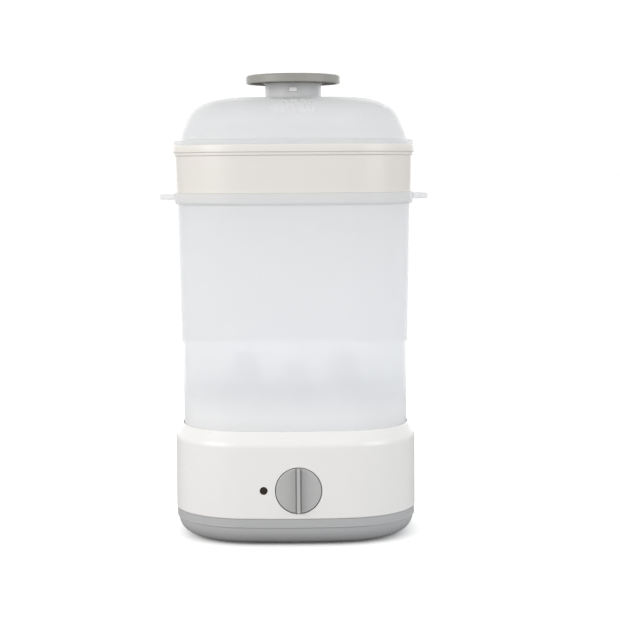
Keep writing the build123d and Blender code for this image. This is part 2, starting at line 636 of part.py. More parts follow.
RACK_T = 2.5
POST_TOP_Z = RACK_Z + 42.6
POST_ARC_Z = POST_TOP_Z - 19.5  # where a post starts to round over
POST_FOOT_Z = RACK_Z + 1.0
BLADE_FOOT = 12.6  # half widths of the broad blade and of the one across it
BLADE_TOP = 12.2
CROSS_FOOT = 8.0
CROSS_TOP = 7.4
with BuildPart() as bottle_rack:
    extrude(to_extrude=outline(8.9, RACK_Z), amount=RACK_T)
    with BuildSketch(Plane.XY.offset(RACK_Z)):
        with Locations(*floor_holes(18.0, 12.0, POST_XY, 15.5)):
            Circle(2.5)
    extrude(amount=RACK_T, mode=Mode.SUBTRACT)
    # each post is a broad blade with a narrower one across it
    for post_x, post_y in POST_XY:
        with BuildSketch(Plane.XZ.offset(-post_y)):
            with BuildLine():
                blade_side = Line((post_x - BLADE_FOOT, POST_FOOT_Z), (post_x - BLADE_TOP, POST_ARC_Z))
                EllipticalCenterArc((post_x, POST_ARC_Z), BLADE_TOP, POST_TOP_Z - POST_ARC_Z, arc_size=180)
                Line((post_x + BLADE_TOP, POST_ARC_Z), (post_x + BLADE_FOOT, POST_FOOT_Z))
                Line((post_x + BLADE_FOOT, POST_FOOT_Z), blade_side @ 0)
            make_face()
        extrude(amount=1.4, both=True)
        with BuildSketch(Plane.YZ.offset(post_x)):
            with BuildLine():
                cross_side = Line((post_y - CROSS_FOOT, POST_FOOT_Z), (post_y - CROSS_TOP, POST_ARC_Z))
                EllipticalCenterArc((post_y, POST_ARC_Z), CROSS_TOP, POST_TOP_Z - 2.0 - POST_ARC_Z, arc_size=180)
                Line((post_y + CROSS_TOP, POST_ARC_Z), (post_y + CROSS_FOOT, POST_FOOT_Z))
                Line((post_y + CROSS_FOOT, POST_FOOT_Z), cross_side @ 0)
            make_face()
        extrude(amount=1.2, both=True)
finish(bottle_rack, "bottle_rack")

# ---------------------------------------------------------------- upper tray

TRAY_FLOOR_Z = BASKET_TOP_Z - 6.5
FLANGE_UNDER_Z = TRAY_TOP_Z - 5.2
with BuildPart() as upper_tray:
    with BuildSketch(WALL_PLANE):
        with BuildLine():
            Polyline(
                (TRAY_SKIRT_IN + TRAY_T, TRAY_FLOOR_Z), (TRAY_SKIRT_IN, TRAY_FLOOR_Z), (TRAY_SKIRT_IN, BASKET_TOP_Z),
                (TRAY_WALL_IN, BASKET_TOP_Z), (1.8, FLANGE_UNDER_Z - 3.2),
            )
            ThreePointArc((1.8, FLANGE_UNDER_Z - 3.2), (0.9, FLANGE_UNDER_Z - 2.1), (1.5, FLANGE_UNDER_Z - 1.0))
            Polyline(
                (1.5, FLANGE_UNDER_Z - 1.0), (0.3, FLANGE_UNDER_Z - 0.7), (TRAY_FLANGE_IN, FLANGE_UNDER_Z),
                (TRAY_FLANGE_IN, TRAY_TOP_Z - 0.6), (TRAY_FLANGE_IN + 0.6, TRAY_TOP_Z), (TRAY_SKIRT_IN, TRAY_TOP_Z),
                (TRAY_SKIRT_IN, FLANGE_UNDER_Z - 0.8),
                (TRAY_WALL_IN + TRAY_T, BASKET_TOP_Z + 1.0), (TRAY_SKIRT_IN + TRAY_T, BASKET_TOP_Z - 1.0),
                (TRAY_SKIRT_IN + TRAY_T, TRAY_FLOOR_Z),
            )
        make_face()
    sweep(path=PATH)
    extrude(to_extrude=outline(TRAY_SKIRT_IN + 1.0, TRAY_FLOOR_Z), amount=TRAY_T)
    with BuildSketch(Plane.XY.offset(TRAY_FLOOR_Z)):
        with Locations(*floor_holes(16.0, 14.0, [], 0)):
            Circle(3.0)
    extrude(amount=TRAY_T, mode=Mode.SUBTRACT)
finish(upper_tray, "upper_tray")

# ---------------------------------------------------------------- lid

STEM_R = 20.8
STEM_BORE_R = 18.6
PLUG_R = 18.1
WINDOW_Z = STEM_TOP_Z - 4.8
LIP_Z = TRAY_TOP_Z - 3.5
CROWN_IN = 45.0  # the top is flat inside this inset
SLOT_Y = -53.6
SLOT_LENGTH = 14.0
SLOT_WIDTH = 3.4
SLOT_PITCH = 6.8
with BuildPart() as lid:
    with BuildSketch(WALL_PLANE):
        with BuildLine():
            Polyline(
                (LID_LIP_IN + LID_T, LIP_Z), (LID_LIP_IN, LIP_Z), (LID_LIP_IN, TRAY_TOP_Z), (LID_RIM_IN, TRAY_TOP_Z),
                (LID_RIM_IN, TRAY_TOP_Z + 2.6), (LID_RIM_IN + 0.8, TRAY_TOP_Z + 3.4), (6.0, TRAY_TOP_Z + 3.8),
            )
            outside = Spline(
                (6.0, TRAY_TOP_Z + 3.8), (9.0, DOME_TOP_Z - 21.9), (12.8, DOME_TOP_Z - 13.3),
                (18.9, DOME_TOP_Z - 6.9), (31.0, DOME_TOP_Z - 2.0), (CROWN_IN, DOME_TOP_Z),
            )
            Line(outside @ 1, (CROWN_IN, DOME_TOP_Z - LID_T))
            inside = Spline(
                (CROWN_IN, DOME_TOP_Z - LID_T), (31.4, DOME_TOP_Z - 3.8), (20.0, DOME_TOP_Z - 8.4),
                (14.4, DOME_TOP_Z - 14.2), (10.8, DOME_TOP_Z - 22.3), (7.9, TRAY_TOP_Z + 2.8),
            )
            Polyline(inside @ 1, (LID_LIP_IN + LID_T, TRAY_TOP_Z + 1.4), (LID_LIP_IN + LID_T, LIP_Z))
        make_face()
    sweep(path=PATH)
    extrude(to_extrude=outline(CROWN_IN - 0.5, DOME_TOP_Z - LID_T), amount=LID_T)
    with BuildSketch(Plane.XY.offset(DOME_TOP_Z - LID_T)):
        Circle(STEM_R)
    extrude(amount=STEM_TOP_Z - DOME_TOP_Z + LID_T)
    with BuildSketch(Plane.XY.offset(DOME_TOP_Z)):
        Circle(STEM_BORE_R)
    extrude(amount=20.0, mode=Mode.SUBTRACT)
    # snap window in the front of the stem
    with Locations((0, -STEM_R, WINDOW_Z)):
        Box(6.2, 8.0, 3.6, mode=Mode.SUBTRACT)
    # steam slots over the front of the crown
    with BuildSketch(Plane.XY.offset(300.0)):
        with Locations((0, SLOT_Y)):
            with GridLocations(SLOT_PITCH, 1, 5, 1):
                SlotOverall(SLOT_LENGTH, SLOT_WIDTH, rotation=90)
    extrude(amount=30.0, mode=Mode.SUBTRACT)
finish(lid, "lid")

HANDLE_R = 35.0
WEB_Z = TOP_Z - 2.6
with BuildPart() as lid_handle:
    with BuildSketch(Plane.XZ):
        with BuildLine():
            Line((0, WEB_Z), (0, TOP_Z))
            crown = ThreePointArc((0, TOP_Z), (HANDLE_R / 2, TOP_Z - 0.35), (HANDLE_R - 1.6, TOP_Z - 1.5))
            ThreePointArc(crown @ 1, (HANDLE_R - 0.5, TOP_Z - 2.0), (HANDLE_R, TOP_Z - 3.2))
            Polyline(
                (HANDLE_R, TOP_Z - 3.2), (HANDLE_R, STEM_TOP_Z + 0.6), (HANDLE_R - 0.6, STEM_TOP_Z),
                (HANDLE_R - 1.6, STEM_TOP_Z), (HANDLE_R - 2.2, STEM_TOP_Z + 0.6), (HANDLE_R - 2.6, WEB_Z - 1.4),
                (22.2, WEB_Z - 0.6), (22.2, STEM_TOP_Z), (PLUG_R, STEM_TOP_Z), (PLUG_R, DOME_TOP_Z + 0.8),
                (PLUG_R - 2.0, DOME_TOP_Z + 0.8), (PLUG_R - 2.0, WEB_Z - 0.4), (0, WEB_Z),
            )
        make_face()
    revolve(axis=Axis.Z)
    # ribs down the plug, and the snap tab that shows in the window
    with BuildSketch(Plane.XY.offset(DOME_TOP_Z + 1.4)):
        with PolarLocations(PLUG_R, 20, start_angle=9):
            Rectangle(0.7, 1.6)
    extrude(amount=8.8)
    with Locations((0, -PLUG_R, WINDOW_Z)):
        Box(5.0, 4.4, 2.6)
finish(lid_handle, "lid_handle")
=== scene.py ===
"""Looks of the steam steriliser: camera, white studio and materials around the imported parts."""

import json
import math

import bmesh
import bpy
from mathutils import Matrix, Vector


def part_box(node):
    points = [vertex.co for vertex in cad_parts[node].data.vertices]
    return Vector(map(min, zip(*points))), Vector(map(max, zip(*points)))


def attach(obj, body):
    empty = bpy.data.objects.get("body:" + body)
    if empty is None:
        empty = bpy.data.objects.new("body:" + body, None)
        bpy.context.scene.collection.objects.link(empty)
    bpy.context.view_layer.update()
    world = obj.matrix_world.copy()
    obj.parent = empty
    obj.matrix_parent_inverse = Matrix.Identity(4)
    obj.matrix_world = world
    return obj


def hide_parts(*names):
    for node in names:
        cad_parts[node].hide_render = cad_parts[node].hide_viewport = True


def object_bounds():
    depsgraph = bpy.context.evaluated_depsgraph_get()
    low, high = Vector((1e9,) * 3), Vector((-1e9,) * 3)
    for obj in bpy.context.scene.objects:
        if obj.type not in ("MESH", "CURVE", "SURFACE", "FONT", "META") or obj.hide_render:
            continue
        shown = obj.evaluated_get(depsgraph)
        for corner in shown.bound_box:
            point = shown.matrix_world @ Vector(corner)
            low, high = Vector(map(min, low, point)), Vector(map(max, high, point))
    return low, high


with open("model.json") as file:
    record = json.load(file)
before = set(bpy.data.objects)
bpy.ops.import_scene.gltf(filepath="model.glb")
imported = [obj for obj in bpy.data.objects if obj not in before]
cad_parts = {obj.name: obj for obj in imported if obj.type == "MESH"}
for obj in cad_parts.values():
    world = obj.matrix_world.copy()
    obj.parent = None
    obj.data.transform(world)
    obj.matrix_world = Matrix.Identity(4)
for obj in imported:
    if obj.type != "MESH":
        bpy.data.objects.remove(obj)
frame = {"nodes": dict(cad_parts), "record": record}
CAD_LOW, CAD_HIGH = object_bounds()
NODES = frame["nodes"]
SLOT_OF = {part["node"]: part["material_slot"] for part in frame["record"]["subparts"]}
MM = 0.001

# Camera, in metres and degrees: level with the upper part of the basket and pitched down at the object
CAMERA_DISTANCE = 1.233
CAMERA_HEIGHT = 0.2694
CAMERA_PITCH = 4.82
CAMERA_YAW = -0.540
CAMERA_ROLL = -0.37
SENSOR = 36.0
LENS = 94.9

# Studio, in metres and watts
FLOOR_RADIUS = 400.0
FLOOR_GAP = 0.0002  # keeps the feet's faces clear of the table's
FLOOR_WHITE = 1.48  # over 1: the table is over-exposed where the camera sees it
FLOOR_BOUNCE = 0.36
SKY_LIGHT = 1.15
SKY_ZENITH = 0.45
SKY_SEEN = 1.1
KEY_POWER = 12.2
FILL_POWER = 9.2
BACK_POWER = 9.5

# Frosted plastic: its tint, how much of the milky share glows through, and where it is milkier
FROSTED_TINT = (0.978, 0.984, 0.995)
MILK_GLOW = 0.55
FOOT_GLOW = 0.22
STEM_MILK = 0.70
STEM_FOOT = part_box("lid")[1][2] - 0.0095
RACK_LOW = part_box("bottle_rack")[0][2]
RACK_FOOT = (RACK_LOW - 0.002, RACK_LOW + 0.030)

SHARP_EDGE = math.radians(35)


# ---------------------------------------------------------------- camera and studio

def make_camera():
    """The camera in front of the object, at the height and distance that give the seams their bow."""
    data = bpy.data.cameras.new("camera")
    data.sensor_width = SENSOR
    data.lens = LENS
    data.clip_start = 0.05
    data.clip_end = 1000.0
    camera = bpy.data.objects.new("camera", data)
    bpy.context.scene.collection.objects.link(camera)
    turn = Matrix.Rotation(math.radians(CAMERA_YAW), 4, "Z")
    tilt = Matrix.Rotation(math.radians(90 - CAMERA_PITCH), 4, "X")
    roll = Matrix.Rotation(math.radians(CAMERA_ROLL), 4, "Z")
    camera.matrix_world = Matrix.Translation((0, -CAMERA_DISTANCE, CAMERA_HEIGHT)) @ turn @ tilt @ roll
    bpy.context.scene.camera = camera


def area_light(name, place, target, size, power, colour=(1, 1, 1)):
    """A square softbox at place, facing target."""
    data = bpy.data.lights.new(name, "AREA")
    data.shape = "SQUARE"
    data.size = size
    data.energy = power
    data.color = colour
    light = bpy.data.objects.new(name, data)
    bpy.context.scene.collection.objects.link(light)
    light.location = place
    light.rotation_mode = "QUATERNION"
    light.rotation_quaternion = (Vector(target) - Vector(place)).to_track_quat("-Z", "Y")
    return light


def seen_apart(nodes, links, lighting, seen, surface):
    """Joins two shaders to a surface: seen is what the camera meets, and lighting is what lights the rest."""
    path = nodes.new("ShaderNodeLightPath")
    choose = nodes.new("ShaderNodeMixShader")
    links.new(path.outputs["Is Camera Ray"], choose.inputs[0])
    links.new(lighting.outputs[0], choose.inputs[1])
    links.new(seen.outputs[0], choose.inputs[2])
    links.new(choose.outputs[0], surface)


def studio_white():
    """The table: over-exposed white where it is seen, and a plain pale surface for the light it returns."""
    material, nodes, links = blank_material("studio_white")
    white = nodes.new("ShaderNodeAddShader")
    for index in range(2):
        half = nodes.new("ShaderNodeBsdfDiffuse")
        half.inputs["Color"].default_value = (FLOOR_WHITE / 2, FLOOR_WHITE / 2, FLOOR_WHITE / 2, 1)
        links.new(half.outputs[0], white.inputs[index])
    pale = principled(nodes, links, (FLOOR_BOUNCE, FLOOR_BOUNCE, FLOOR_BOUNCE), 0.9, connect=False)
    seen_apart(nodes, links, pale, white, nodes["output"].inputs["Surface"])
    return material


def make_floor():
    """A white table that runs to the horizon."""
    bpy.ops.mesh.primitive_circle_add(
        vertices=96, radius=FLOOR_RADIUS, fill_type="NGON", location=(0, 0, -FLOOR_GAP)
    )
    floor = bpy.context.object
    floor.name = "studio_floor"
    floor.data.materials.append(studio_white())


def make_sky():
    """A white sky that is dimmer overhead."""
    world = bpy.data.worlds.new("studio_sky")
    bpy.context.scene.world = world
    world.use_nodes = True
    nodes, links = world.node_tree.nodes, world.node_tree.links
    light = nodes["Background"]
    light.inputs["Color"].default_value = (1.0, 1.0, 1.0, 1)
    place = nodes.new("ShaderNodeTexCoord")
    split = nodes.new("ShaderNodeSeparateXYZ")
    links.new(place.outputs["Generated"], split.inputs[0])
    dim = nodes.new("ShaderNodeMapRange")
    dim.inputs["To Min"].default_value = SKY_LIGHT
    dim.inputs["To Max"].default_value = SKY_ZENITH
    links.new(split.outputs["Z"], dim.inputs["Value"])
    links.new(dim.outputs[0], light.inputs["Strength"])
    seen = nodes.new("ShaderNodeBackground")
    seen.inputs["Color"].default_value = (1.0, 1.0, 1.0, 1)
    seen.inputs["Strength"].default_value = SKY_SEEN
    seen_apart(nodes, links, light, seen, nodes["World Output"].inputs["Surface"])


def make_lights():
    """Soft boxes to the left and right, and one behind that shines through the frosted walls."""
    area_light("key_left", (-1.3, -0.9, 0.6), (0, 0, 0.16), 1.0, KEY_POWER, (1.0, 0.985, 0.965))
    area_light("fill_right", (1.4, -0.9, 0.45), (0, 0, 0.16), 1.0, FILL_POWER, (0.97, 0.985, 1.0))
    back = area_light("back_glow", (0, 1.3, 0.45), (0, 0, 0.22), 1.4, BACK_POWER)
    back.visible_camera = False


def make_studio():
    """The table, the sky and the lights, in plain display colours."""
    make_floor()
    make_sky()
    make_lights()
    bpy.context.scene.view_settings.view_transform = "Standard"


# ---------------------------------------------------------------- materials

def blank_material(name):
    """A node material with only its output."""
    material = bpy.data.materials.new(name)
    material.use_nodes = True
    nodes, links = material.node_tree.nodes, material.node_tree.links
    nodes.clear()
    nodes.new("ShaderNodeOutputMaterial").name = "output"
    return material, nodes, links


def principled(nodes, links, colour, roughness, connect=True, **values):
    """A Principled shader with plain values, joined to the output unless connect is off."""
    shader = nodes.new("ShaderNodeBsdfPrincipled")
    shader.inputs["Base Color"].default_value = (*colour, 1)
    shader.inputs["Roughness"].default_value = roughness
    for name, value in values.items():
        shader.inputs[name.replace("_", " ").title()].default_value = value
    if connect:
        links.new(shader.outputs[0], nodes["output"].inputs["Surface"])
    return shader


def noise(nodes, links, scale, detail=3.0, stretch=(1, 1, 1)):
    """Noise in the object's own coordinates, in metres: scale is in cycles per metre."""
    place = nodes.new("ShaderNodeTexCoord")
    mapping = nodes.new("ShaderNodeMapping")
    mapping.inputs["Scale"].default_value = stretch
    links.new(place.outputs["Object"], mapping.inputs["Vector"])
    texture = nodes.new("ShaderNodeTexNoise")
    texture.inputs["Scale"].default_value = scale
    texture.inputs["Detail"].default_value = detail
    links.new(mapping.outputs[0], texture.inputs["Vector"])
    return texture.outputs["Fac"]


def ramp(nodes, links, value, low, high):
    """Spreads the middle of a noise value between low and high."""
    spread = nodes.new("ShaderNodeMapRange")
    spread.inputs["From Min"].default_value = 0.35
    spread.inputs["From Max"].default_value = 0.65
    spread.inputs["To Min"].default_value = low
    spread.inputs["To Max"].default_value = high
    links.new(value, spread.inputs["Value"])
    return spread.outputs[0]


def mix_colours(nodes, links, factor, first, second):
    """Blends two plain colours by a 0 to 1 value."""
    blend = nodes.new("ShaderNodeMix")
    blend.data_type = "RGBA"
    blend.inputs["A"].default_value = (*first, 1)
    blend.inputs["B"].default_value = (*second, 1)
    links.new(factor, blend.inputs["Factor"])
    return blend.outputs["Result"]


def add_bump(nodes, links, shader, height, distance, strength):
    """Raises the surface by height times distance, in metres."""
    bump = nodes.new("ShaderNodeBump")
    bump.inputs["Strength"].default_value = strength
    bump.inputs["Distance"].default_value = distance
    links.new(height, bump.inputs["Height"])
    links.new(bump.outputs[0], shader.inputs["Normal"])


def moulded_plastic(name, colour, roughness, grain, depth, coat=0.0, variation=0.03):
    """Injection-moulded plastic: fine spark grain, a little unevenness in colour and gloss."""
    material, nodes, links = blank_material(name)
    shader = principled(nodes, links, colour, roughness, coat_weight=coat, coat_roughness=0.12)
    broad = noise(nodes, links, 14.0)
    lighter = tuple(min(c * (1 + variation), 1) for c in colour)
    darker = tuple(c * (1 - variation) for c in colour)
    links.new(mix_colours(nodes, links, broad, darker, lighter), shader.inputs["Base Color"])
    fine = noise(nodes, links, grain, 2.0)
    links.new(ramp(nodes, links, fine, roughness - 0.04, roughness + 0.05), shader.inputs["Roughness"])
    add_bump(nodes, links, shader, fine, depth, 0.6)
    return material


def milkiness_by_height(nodes, links, clear, foot):
    """A 0 to 1 milkiness: full below foot[0], 1 - clear above foot[1], and STEM_MILK up the lid's stem."""
    place = nodes.new("ShaderNodeTexCoord")
    split = nodes.new("ShaderNodeSeparateXYZ")
    links.new(place.outputs["Object"], split.inputs[0])
    share = nodes.new("ShaderNodeMath")
    share.operation = "DIVIDE"
    share.inputs[1].default_value = CAD_HIGH[2]
    links.new(split.outputs["Z"], share.inputs[0])
    fade = nodes.new("ShaderNodeValToRGB")
    fade.color_ramp.interpolation = "EASE"
    stops = (
        (foot[0], 1.0),
        (foot[1], 1 - clear),
        (STEM_FOOT - 0.002, 1 - clear),
        (STEM_FOOT + 0.001, STEM_MILK),
    )
    while len(fade.color_ramp.elements) < len(stops):
        fade.color_ramp.elements.new(0.5)
    for stop, (height, milkiness) in zip(fade.color_ramp.elements, stops):
        stop.position = height / CAD_HIGH[2]
        stop.color = (milkiness, milkiness, milkiness, 1)
    links.new(share.outputs[0], fade.inputs[0])
    return fade.outputs[0]


def frosted_plastic(name, tint, clear, roughness, foot):
    """Natural polypropylene: a milky wall that lets light and a view of what is inside through.
    clear is the share that passes straight through one face, and foot the heights over which it sets in."""
    material, nodes, links = blank_material(name)
    skin = principled(nodes, links, tint, roughness, connect=False)
    through = nodes.new("ShaderNodeBsdfTranslucent")
    through.inputs["Color"].default_value = (*tint, 1)
    milk = nodes.new("ShaderNodeMixShader")
    links.new(skin.outputs[0], milk.inputs[1])
    links.new(through.outputs[0], milk.inputs[2])
    window = nodes.new("ShaderNodeBsdfTransparent")
    window.inputs["Color"].default_value = (0.985, 0.99, 0.995, 1)
    milkiness = milkiness_by_height(nodes, links, clear, foot)
    glow = nodes.new("ShaderNodeMapRange")
    glow.inputs["From Min"].default_value = 1 - clear
    glow.inputs["From Max"].default_value = 1.0
    glow.inputs["To Min"].default_value = MILK_GLOW
    glow.inputs["To Max"].default_value = FOOT_GLOW
    links.new(milkiness, glow.inputs["Value"])
    links.new(glow.outputs[0], milk.inputs[0])
    blend = nodes.new("ShaderNodeMixShader")
    links.new(milkiness, blend.inputs[0])
    links.new(window.outputs[0], blend.inputs[1])
    links.new(milk.outputs[0], blend.inputs[2])
    links.new(blend.outputs[0], nodes["output"].inputs["Surface"])
    fine = noise(nodes, links, 2600.0, 2.0)
    links.new(ramp(nodes, links, fine, roughness - 0.04, roughness + 0.05), skin.inputs["Roughness"])
    add_bump(nodes, links, skin, fine, 0.00001, 0.5)
    return material


def metal(name, colour, roughness, stretch=(1, 1, 1)):
    """Bare or plated metal with a fine directional finish."""
    material, nodes, links = blank_material(name)
    shader = principled(nodes, links, colour, roughness, metallic=1.0)
    lines = noise(nodes, links, 400.0, 3.0, stretch)
    links.new(ramp(nodes, links, lines, roughness - 0.08, roughness + 0.1), shader.inputs["Roughness"])
    add_bump(nodes, links, shader, lines, 0.00003, 0.5)
    return material


# colour, roughness, grain in cycles per metre, grain depth in metres, then coat and colour variation
PLASTICS = {
    "white_shell": ((0.83, 0.822, 0.812), 0.30, 2600.0, 0.000004, 0.15, 0.006),
    "grey_shell": ((0.452, 0.455, 0.462), 0.36, 2600.0, 0.00001, 0.0, 0.015),
    "knob_grey": ((0.47, 0.47, 0.468), 0.48, 2600.0, 0.00002, 0.0, 0.015),
    "handle_grey": ((0.30, 0.294, 0.27), 0.42, 2600.0, 0.00001, 0.0, 0.015),
    "cream_white": ((0.79, 0.762, 0.722), 0.34, 2600.0, 0.000004, 0.1, 0.006),
    "silicone": ((0.70, 0.69, 0.66), 0.55, 900.0, 0.00003),
    "foot_rubber": ((0.035, 0.035, 0.038), 0.75, 1200.0, 0.00008),
    "black_moulding": ((0.02, 0.02, 0.022), 0.45, 1200.0, 0.00004),
    "terminal_white": ((0.72, 0.72, 0.69), 0.5, 1200.0, 0.00004),
    "amber_lens": ((0.022, 0.010, 0.006), 0.22, 300.0, 0.00001, 0.2),
    "lamp_glass": ((0.75, 0.6, 0.5), 0.1, 300.0, 0.00001),
}

# colour, roughness, and how the finish's lines are stretched
METALS = {
    "stainless": ((0.62, 0.62, 0.63), 0.28, (1, 8, 1)),
    "plated_steel": ((0.58, 0.59, 0.60), 0.35),
    "element_alloy": ((0.55, 0.55, 0.56), 0.5),
    "brass_screw": ((0.70, 0.52, 0.22), 0.3),
}


def make_materials():
    """One material for each slot of the record."""
    materials = {name: moulded_plastic(name, *look) for name, look in PLASTICS.items()}
    materials |= {name: metal(name, *look) for name, look in METALS.items()}
    materials["frosted_clear"] = frosted_plastic("frosted_clear", FROSTED_TINT, 0.42, 0.42, RACK_FOOT)
    return materials


def dress_cad_nodes():
    """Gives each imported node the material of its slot."""
    for name, node in NODES.items():
        node.data.materials.clear()
        node.data.materials.append(MATERIALS[SLOT_OF[name]])


# ---------------------------------------------------------------- plan and profiles

# The plan, as in the CAD: bowed front and sides, joined by round corners about (CORNER_X, CORNER_Y)
HALF_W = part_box("housing")[1][0]
HALF_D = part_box("housing")[1][1]
CORNER_R = 57.0 * MM
CORNER_X = 32.4 * MM
CORNER_Y = 16.3 * MM
CORNER_SQUARE = CORNER_X**2 + CORNER_Y**2
FRONT_GAP = HALF_D - CORNER_R
SIDE_GAP = HALF_W - CORNER_R
FRONT_Y0 = (CORNER_SQUARE - FRONT_GAP**2) / (2 * (FRONT_GAP - CORNER_Y))
SIDE_X0 = (CORNER_SQUARE - SIDE_GAP**2) / (2 * (SIDE_GAP - CORNER_X))
FRONT_ANGLE = math.atan2(CORNER_X, FRONT_Y0 + CORNER_Y)
SIDE_ANGLE = math.atan2(CORNER_Y, SIDE_X0 + CORNER_X)
QUARTER = math.pi / 2
FRONT_STEPS = 12
CORNER_STEPS = 36
SIDE_STEPS = 8


def plan_loop(inset):
    """The plan's outline moved inwards by inset, anticlockwise from the front."""
    corner_turn = QUARTER - FRONT_ANGLE - SIDE_ANGLE
    # centre x and y, radius, start angle, turn and number of steps
    arcs = (
        (0, FRONT_Y0, HALF_D + FRONT_Y0, -QUARTER - FRONT_ANGLE, 2 * FRONT_ANGLE, FRONT_STEPS),
        (CORNER_X, -CORNER_Y, CORNER_R, -QUARTER + FRONT_ANGLE, corner_turn, CORNER_STEPS),
        (-SIDE_X0, 0, HALF_W + SIDE_X0, -SIDE_ANGLE, 2 * SIDE_ANGLE, SIDE_STEPS),
        (CORNER_X, CORNER_Y, CORNER_R, SIDE_ANGLE, corner_turn, CORNER_STEPS),
        (0, -FRONT_Y0, HALF_D + FRONT_Y0, QUARTER - FRONT_ANGLE, 2 * FRONT_ANGLE, FRONT_STEPS),
        (-CORNER_X, CORNER_Y, CORNER_R, QUARTER + FRONT_ANGLE, corner_turn, CORNER_STEPS),
        (SIDE_X0, 0, HALF_W + SIDE_X0, math.pi - SIDE_ANGLE, 2 * SIDE_ANGLE, SIDE_STEPS),
        (-CORNER_X, -CORNER_Y, CORNER_R, math.pi + SIDE_ANGLE, corner_turn, CORNER_STEPS),
    )
    points = []
    for x, y, radius, start, turn, steps in arcs:
        for step in range(steps):
            angle = start + turn * step / steps
            points.append((x + (radius - inset) * math.cos(angle), y + (radius - inset) * math.sin(angle)))
    return points


def rounded(corners, steps=4):
    """A closed profile in metres: corners (inset, height, radius), in millimetres, become small curves."""
    profile = []
    for index, (inset, height, radius) in enumerate(corners):
        here = Vector((inset, height)) * MM
        before = Vector(corners[index - 1][:2]) * MM
        after = Vector(corners[(index + 1) % len(corners)][:2]) * MM
        if radius == 0:
            profile.append(here)
            continue
        reach = min(radius * MM, (before - here).length * 0.49, (after - here).length * 0.49)
        start = here + (before - here).normalized() * reach
        end = here + (after - here).normalized() * reach
        for step in range(steps + 1):
            t = step / steps
            profile.append(start * (1 - t) ** 2 + here * (2 * t * (1 - t)) + end * t**2)
    return profile


def smooth_between(a, b, c, d, t):
    """A value on the smooth curve from b to c, where a comes before them and d after (Catmull-Rom)."""
    square = (2 * a - 5 * b + 4 * c - d) * t**2
    cube = (3 * b - a - 3 * c + d) * t**3
    return 0.5 * (2 * b + (c - a) * t + square + cube)


def curve_through(points, steps=5):
    """A smooth line through (inset, height) points in millimetres, as corners with no rounding."""
    ends = [points[0], *points, points[-1]]
    line = []
    for around in zip(ends, ends[1:], ends[2:], ends[3:]):
        for step in range(steps):
            inset, height = (smooth_between(*values, step / steps) for values in zip(*around))
            line.append((inset, height, 0))
    line.append((*points[-1], 0))
    return line


# ---------------------------------------------------------------- meshes

def mesh_piece(name, bm, slot):
    """A finished piece from a bmesh: smooth except across sharp edges, in the slot's material."""
    mesh = bpy.data.meshes.new(name)
    bmesh.ops.recalc_face_normals(bm, faces=bm.faces)
    bm.to_mesh(mesh)
    bm.free()
    mesh.shade_smooth()
    mesh.set_sharp_from_angle(angle=SHARP_EDGE)
    piece = bpy.data.objects.new(name, mesh)
    bpy.context.scene.collection.objects.link(piece)
    mesh.materials.append(MATERIALS[slot])
    return piece


def join_rings(bm, lower, upper):
    """A band of faces between two rings of vertices."""
    for index in range(len(lower)):
        bm.faces.new((lower[index - 1], lower[index], upper[index], upper[index - 1]))


def swept(bm, profile, closed=True):
    """Carries a profile round the plan: a ring of wall, or, when it isn't closed, a shell with flat ends."""
    rings = []
    for inset, height in profile:
        rings.append([bm.verts.new((x, y, height)) for x, y in plan_loop(inset)])
    if not closed:
        bm.faces.new(rings[0])
        bm.faces.new(rings[-1])
    for lower, upper in zip(rings, rings[1:]):
        join_rings(bm, lower, upper)
    if closed:
        join_rings(bm, rings[-1], rings[0])


def circle(radius, steps):
    """Points of a circle about the origin, anticlockwise from +X."""
    points = []
    for step in range(steps):
        angle = 2 * math.pi * step / steps
        points.append((radius * math.cos(angle), radius * math.sin(angle)))
    return points


def turned(bm, profile, steps=96):
    """Turns a closed profile of (radius, height), in metres, about the upright axis."""
    rings = []
    for radius, height in profile:
        rings.append([bm.verts.new((x, y, height)) for x, y in circle(radius, steps)])
    for lower, upper in zip(rings, rings[1:] + rings[:1]):
        join_rings(bm, lower, upper)


def helper(name, bm):
    """A solid that is only used to cut or to join."""
    mesh = bpy.data.meshes.new(name)
    bmesh.ops.recalc_face_normals(bm, faces=bm.faces)
    bm.to_mesh(mesh)
    bm.free()
    solid = bpy.data.objects.new(name, mesh)
    bpy.context.scene.collection.objects.link(solid)
    return solid


def prism(name, outline, low, high):
    """A solid that stands on a closed outline: all in millimetres."""
    bm = bmesh.new()
    face = bm.faces.new([bm.verts.new((x * MM, y * MM, low * MM)) for x, y in outline])
    lifted = bmesh.ops.extrude_face_region(bm, geom=[face])
    tops = [element for element in lifted["geom"] if isinstance(element, bmesh.types.BMVert)]
    bmesh.ops.translate(bm, verts=tops, vec=(0, 0, (high - low) * MM))
    return helper(name, bm)


def cut(piece, cutters, operation="DIFFERENCE"):
    """Cuts or joins helper solids with the piece, then removes them."""
    for cutter in cutters:
        boolean = piece.modifiers.new("boolean", "BOOLEAN")
        boolean.operation = operation
        boolean.solver = "EXACT"
        boolean.object = cutter
    bpy.context.view_layer.update()
    evaluated = piece.evaluated_get(bpy.context.evaluated_depsgraph_get())
    mesh = bpy.data.meshes.new_from_object(evaluated)
    piece.modifiers.clear()
    piece.data = mesh
    mesh.shade_smooth()
    mesh.set_sharp_from_angle(angle=SHARP_EDGE)
    for cutter in cutters:
        bpy.data.objects.remove(cutter)


# ---------------------------------------------------------------- grey cover's bead

BEAD_DROP = 1.1  # from the band's lower edge down to the bead's own lower edge


def band_foot():
    """Height of the lower edge of the grey cover's upright band, in millimetres: where it is widest."""
    cover = NODES["bottom_cover"]
    points = [cover.matrix_world @ vertex.co for vertex in cover.data.vertices]
    widest = max(point.y for point in points)
    return min(point.z for point in points if point.y > widest - 0.02 * MM) / MM


